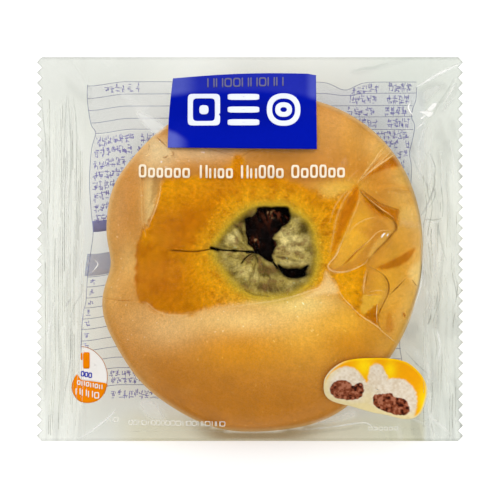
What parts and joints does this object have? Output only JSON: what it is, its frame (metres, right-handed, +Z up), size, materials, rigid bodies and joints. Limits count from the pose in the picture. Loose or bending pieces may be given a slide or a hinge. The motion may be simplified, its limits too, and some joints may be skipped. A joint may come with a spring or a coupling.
{
  "type": "packed red bean bun",
  "caption": "Round red bean bun with a torn open top, shut in a clear printed flow-wrap pack with crimped saw-tooth end seals, lying flat.",
  "frame": {"origin": "centre of the pack's bounding box, on the table it lies on", "axes": "+X from the left end seal to the right one, +Y across the pack towards the printed heading, +Z up out of the printed front"},
  "size_m": [0.1386, 0.1248, 0.0379],
  "materials": {
    "wrapped_bun": "baked crust seen through clear film",
    "film": "clear glossy film with soft wrinkles",
    "seal_film": "crimped, slightly milky film",
    "crust": "golden brown baked crust, finely pored",
    "torn_dough": "pale dough, torn and stretched",
    "bean_paste": "dark red bean paste, moist",
    "print_blue": "printed ink on film",
    "print_white": "printed ink on film",
    "print_orange": "printed ink on film",
    "print_grey": "thin printed lines on film",
    "print_bun": "small picture of a cut bun in plain colours"
  },
  "bodies": {
    "root": {"sealed_pack": "wrapped_bun"}
  },
  "joints": []
}
